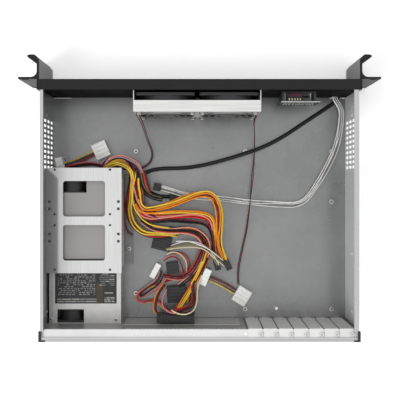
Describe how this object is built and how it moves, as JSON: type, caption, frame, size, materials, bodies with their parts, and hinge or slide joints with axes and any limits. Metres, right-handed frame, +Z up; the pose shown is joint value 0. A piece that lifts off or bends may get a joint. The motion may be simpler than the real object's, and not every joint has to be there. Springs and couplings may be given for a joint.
{
  "type": "rackmount server case",
  "caption": "Open two-unit rackmount server case without a lid, with front fans, a power supply, a windowed drive bracket, blank card covers and loose cables.",
  "frame": {"origin": "the middle of the tray's underside, half way between the side walls and between the front face and the rear edge", "axes": "+Z up, the front faces -Y, +X towards the side with the power supply and the drive bracket"},
  "size_m": [0.4826, 0.3827, 0.088],
  "materials": {
    "zinc_steel": "satin zinc-coated sheet",
    "bright_steel": "bright sheet",
    "psu_steel": "satin sheet",
    "black_steel": "black coat",
    "black_front": "black, slightly textured",
    "black_screws": "black",
    "screws": "bright",
    "black_plastic": "matte",
    "wire_guard": "plated wire",
    "circuit_board": "green solder mask",
    "socket_plastic": "matte",
    "black_button": "semi-gloss",
    "light_pipe": "clear light pipe",
    "brass_posts": "plain",
    "loom": "bundled insulated wires",
    "thin_wires": "insulated wires",
    "grey_cable": "jacket",
    "black_plugs": "matte",
    "white_plugs": "matte",
    "tie": "matte"
  },
  "bodies": {
    "case": {"chassis_tray": "zinc_steel", "rear_panel": "zinc_steel", "rear_corners": "black_steel", "slot_cover_1": "zinc_steel", "slot_cover_2": "zinc_steel", "slot_cover_3": "zinc_steel", "slot_cover_4": "zinc_steel", "slot_cover_5": "zinc_steel", "slot_cover_6": "zinc_steel", "slot_cover_7": "zinc_steel", "io_shield": "bright_steel", "front_panel": "zinc_steel", "front_bezel": "black_front", "handle_left": "black_front", "handle_right": "black_front", "handle_screws": "black_screws", "fan_frame_left": "black_plastic", "fan_frame_right": "black_plastic", "fan_bracket": "bright_steel", "fan_guards": "wire_guard", "fan_screws": "screws", "io_bracket": "zinc_steel", "io_board": "circuit_board", "usb_ports": "socket_plastic", "button_switches": "black_button", "indicator_lights": "light_pipe", "psu_shell": "psu_steel", "psu_cover": "psu_steel", "psu_fan_frame_rear": "black_plastic", "psu_fan_frame_front": "black_plastic", "power_inlet": "socket_plastic", "drive_bracket": "bright_steel", "standoffs": "brass_posts", "case_screws": "screws", "board_cable": "loom", "processor_cable_1": "loom", "processor_cable_2": "loom", "link_cable": "thin_wires", "drive_cable": "thin_wires", "usb_cable": "grey_cable", "panel_wires": "thin_wires", "fan_lead_left": "thin_wires", "fan_lead_right": "thin_wires", "adaptor_wires_a": "loom", "adaptor_wires_b": "loom", "usb_plug": "black_plugs", "panel_plug": "black_plugs", "processor_plug_1": "black_plugs", "processor_plug_2": "black_plugs", "board_plug": "black_plugs", "adaptor_plugs_a": "white_plugs", "adaptor_plugs_b": "white_plugs", "drive_plugs": "black_plugs", "cable_tie": "tie"},
    "fan_rotor_left": {"fan_rotor_left": "black_plastic"},
    "fan_rotor_right": {"fan_rotor_right": "black_plastic"},
    "psu_fan_rotor_rear": {"psu_fan_rotor_rear": "black_plastic"},
    "psu_fan_rotor_front": {"psu_fan_rotor_front": "black_plastic"},
    "power_button": {"power_button": "black_button"},
    "reset_button": {"reset_button": "black_button"}
  },
  "joints": [
    {"name": "fan_spin_left", "type": "hinge", "parent": "case", "child": "fan_rotor_left", "pos_m": [0.0456, -0.147, 0.0425], "axis": [0, 1, 0], "continuous": true},
    {"name": "fan_spin_right", "type": "hinge", "parent": "case", "child": "fan_rotor_right", "pos_m": [-0.0394, -0.147, 0.0425], "axis": [0, 1, 0], "continuous": true},
    {"name": "psu_fan_spin_rear", "type": "hinge", "parent": "case", "child": "psu_fan_rotor_rear", "pos_m": [0.1795, 0.1465, 0.0208], "axis": [0, 1, 0], "continuous": true},
    {"name": "psu_fan_spin_front", "type": "hinge", "parent": "case", "child": "psu_fan_rotor_front", "pos_m": [0.1795, -0.034, 0.0208], "axis": [0, 1, 0], "continuous": true},
    {"name": "power_press", "type": "slide", "parent": "case", "child": "power_button", "axis": [0, 1, 0], "range_m": [0, 0.002], "stiffness_N_per_m": 400, "springref_m": -0.001},
    {"name": "reset_press", "type": "slide", "parent": "case", "child": "reset_button", "axis": [0, 1, 0], "range_m": [0, 0.002], "stiffness_N_per_m": 250, "springref_m": -0.001}
  ]
}
